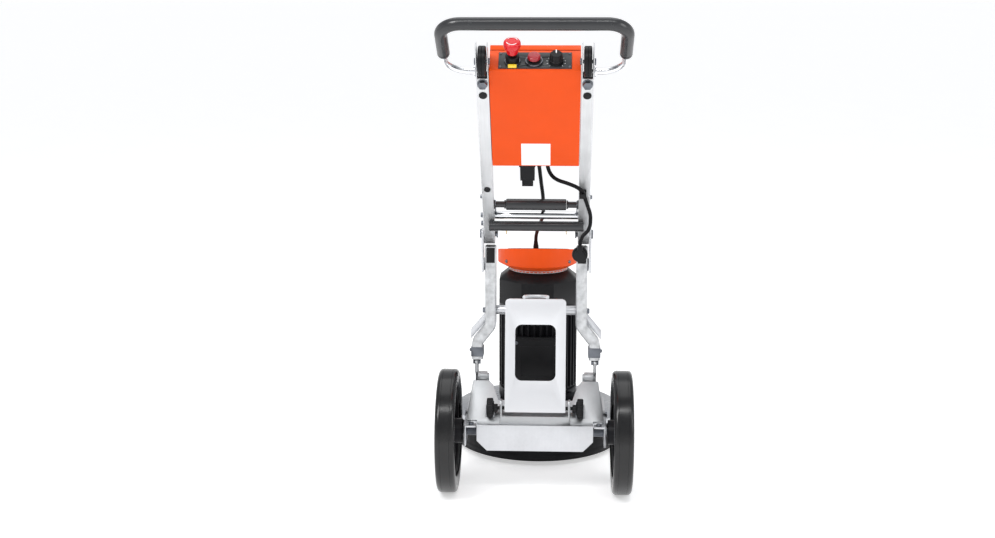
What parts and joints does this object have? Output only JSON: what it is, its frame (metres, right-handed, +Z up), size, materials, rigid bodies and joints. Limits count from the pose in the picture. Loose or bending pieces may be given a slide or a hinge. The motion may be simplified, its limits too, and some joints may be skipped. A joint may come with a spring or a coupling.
{
  "type": "concrete grinder",
  "caption": "Walk-behind floor grinder with an upright electric motor over a skirted grinding head, transport wheels and a folding handle frame.",
  "frame": {"origin": "on the floor, under the middle of the machine's outline", "axes": "+X to the operator's right, +Y forwards to the grinding head, +Z up"},
  "size_m": [0.436, 0.9716, 1.0726],
  "materials": {
    "zinc_steel": "zinc-plated sheet steel, satin",
    "white_steel": "light grey powder coat",
    "grey_tube": "silver-grey coated tube",
    "orange_paint": "orange powder coat",
    "black_casting": "black painted casting",
    "black_plastic": "black moulded plastic",
    "dark_rubber": "black rubber",
    "grip_foam": "dark grey grip",
    "tyre": "solid black rubber tyre",
    "dark_steel": "dark fasteners",
    "chrome_tube": "bright chromed tube",
    "brass": "yellow zinc or brass",
    "panel_grey": "dark grey panel plate",
    "red_plastic": "red button",
    "copper": "copper windings in lacquer",
    "steel": "ground steel"
  },
  "bodies": {
    "chassis": {"side_plate_left": "zinc_steel", "side_plate_right": "zinc_steel", "rear_apron": "zinc_steel", "deck_sheet": "zinc_steel", "axle": "dark_steel", "axle_caps": "dark_steel", "leg_left": "grey_tube", "leg_right": "grey_tube", "leg_gussets": "zinc_steel", "leg_ears": "zinc_steel", "leg_sleeves": "dark_steel", "leg_end_plugs": "black_plastic", "cross_tube": "zinc_steel", "frame_bolts": "dark_steel", "pivot_plates": "zinc_steel", "fold_pins": "dark_steel", "head_cover": "steel", "dust_outlet": "black_plastic", "motor_housing": "black_casting", "motor_shoulder": "black_plastic", "terminal_box": "black_plastic", "fan_hood": "orange_paint", "stator": "copper", "motor_bearings": "steel", "bracket_base": "zinc_steel"},
    "rotor": {"rotor": "steel", "cooling_fan": "steel", "tool_plate": "steel", "diamond_segments": "brass"},
    "skirt": {"skirt": "dark_rubber"},
    "wheel_left": {"tyre_left": "tyre", "wheel_left": "black_casting"},
    "wheel_right": {"tyre_right": "tyre", "wheel_right": "black_casting"},
    "bracket": {"swing_bracket": "white_steel"},
    "knob_left": {"knob_left": "black_casting"},
    "knob_right": {"knob_right": "black_casting"},
    "upper_frame": {"post_left": "grey_tube", "post_right": "grey_tube", "cross_bar": "grip_foam", "cross_rod": "chrome_tube", "rollers": "black_plastic", "post_plugs": "black_plastic", "post_nuts": "dark_steel", "cable_clip": "black_plastic", "box_shell": "orange_paint", "box_cover": "orange_paint", "control_panel": "panel_grey", "button_bezels": "black_plastic", "power_inlet": "black_plastic", "cable_glands": "black_plastic", "cables": "dark_rubber"},
    "release": {"release_handle": "grip_foam"},
    "latch_left": {"latch_pin_left": "brass"},
    "latch_right": {"latch_pin_right": "brass"},
    "stop_button": {"stop_button": "red_plastic"},
    "start_button": {"start_button": "red_plastic"},
    "speed_knob": {"speed_knob": "black_plastic"},
    "handle": {"handle_tube": "chrome_tube", "handle_grip": "grip_foam"}
  },
  "joints": [
    {"name": "wheel_left_spin", "type": "hinge", "parent": "chassis", "child": "wheel_left", "pos_m": [-0.196, -0.0862, 0.14], "axis": [1, 0, 0], "continuous": true},
    {"name": "wheel_right_spin", "type": "hinge", "parent": "chassis", "child": "wheel_right", "pos_m": [0.196, -0.0862, 0.14], "axis": [1, 0, 0], "continuous": true},
    {"name": "tool_spin", "type": "hinge", "parent": "chassis", "child": "rotor", "pos_m": [0, 0.2808, 0.2], "axis": [0, 0, 1], "continuous": true},
    {"name": "skirt_float", "type": "slide", "parent": "chassis", "child": "skirt", "axis": [0, 0, 1], "range_m": [0, 0.015]},
    {"name": "bracket_swing", "type": "hinge", "parent": "chassis", "child": "bracket", "pos_m": [0, -0.1042, 0.2], "axis": [1, 0, 0], "range_deg": [0, 90]},
    {"name": "knob_left_turn", "type": "hinge", "parent": "chassis", "child": "knob_left", "pos_m": [-0.1, -0.1042, 0.2], "axis": [1, 0, 0], "continuous": true},
    {"name": "knob_right_turn", "type": "hinge", "parent": "chassis", "child": "knob_right", "pos_m": [0.1, -0.1042, 0.2], "axis": [1, 0, 0], "continuous": true},
    {"name": "frame_fold", "type": "hinge", "parent": "chassis", "child": "upper_frame", "pos_m": [0, -0.03455, 0.58604], "axis": [-1, 0, 0], "range_deg": [0, 115], "deforming": ["cables"]},
    {"name": "release_pull", "type": "slide", "parent": "upper_frame", "child": "release", "axis": [0, -0.6018, 0.7986], "range_m": [0, 0.01], "stiffness_N_per_m": 800, "springref_m": -0.005},
    {"name": "latch_left_pull", "type": "slide", "parent": "upper_frame", "child": "latch_left", "axis": [1, 0, 0], "range_m": [0, 0.008], "stiffness_N_per_m": 600, "springref_m": -0.003},
    {"name": "latch_right_pull", "type": "slide", "parent": "upper_frame", "child": "latch_right", "axis": [-1, 0, 0], "range_m": [0, 0.008], "stiffness_N_per_m": 600, "springref_m": -0.003},
    {"name": "stop_press", "type": "slide", "parent": "upper_frame", "child": "stop_button", "axis": [0, 0.6018, -0.7986], "range_m": [0, 0.004]},
    {"name": "start_press", "type": "slide", "parent": "upper_frame", "child": "start_button", "axis": [0, 0.6018, -0.7986], "range_m": [0, 0.003], "stiffness_N_per_m": 600, "springref_m": -0.002},
    {"name": "speed_turn", "type": "hinge", "parent": "upper_frame", "child": "speed_knob", "pos_m": [0.042, -0.31645, 0.9809], "axis": [0, -0.6018, 0.7986], "range_deg": [-135, 135]},
    {"name": "handle_tilt", "type": "hinge", "parent": "upper_frame", "child": "handle", "pos_m": [0, -0.31921, 0.9638], "axis": [1, 0, 0], "range_deg": [-60, 90]}
  ]
}
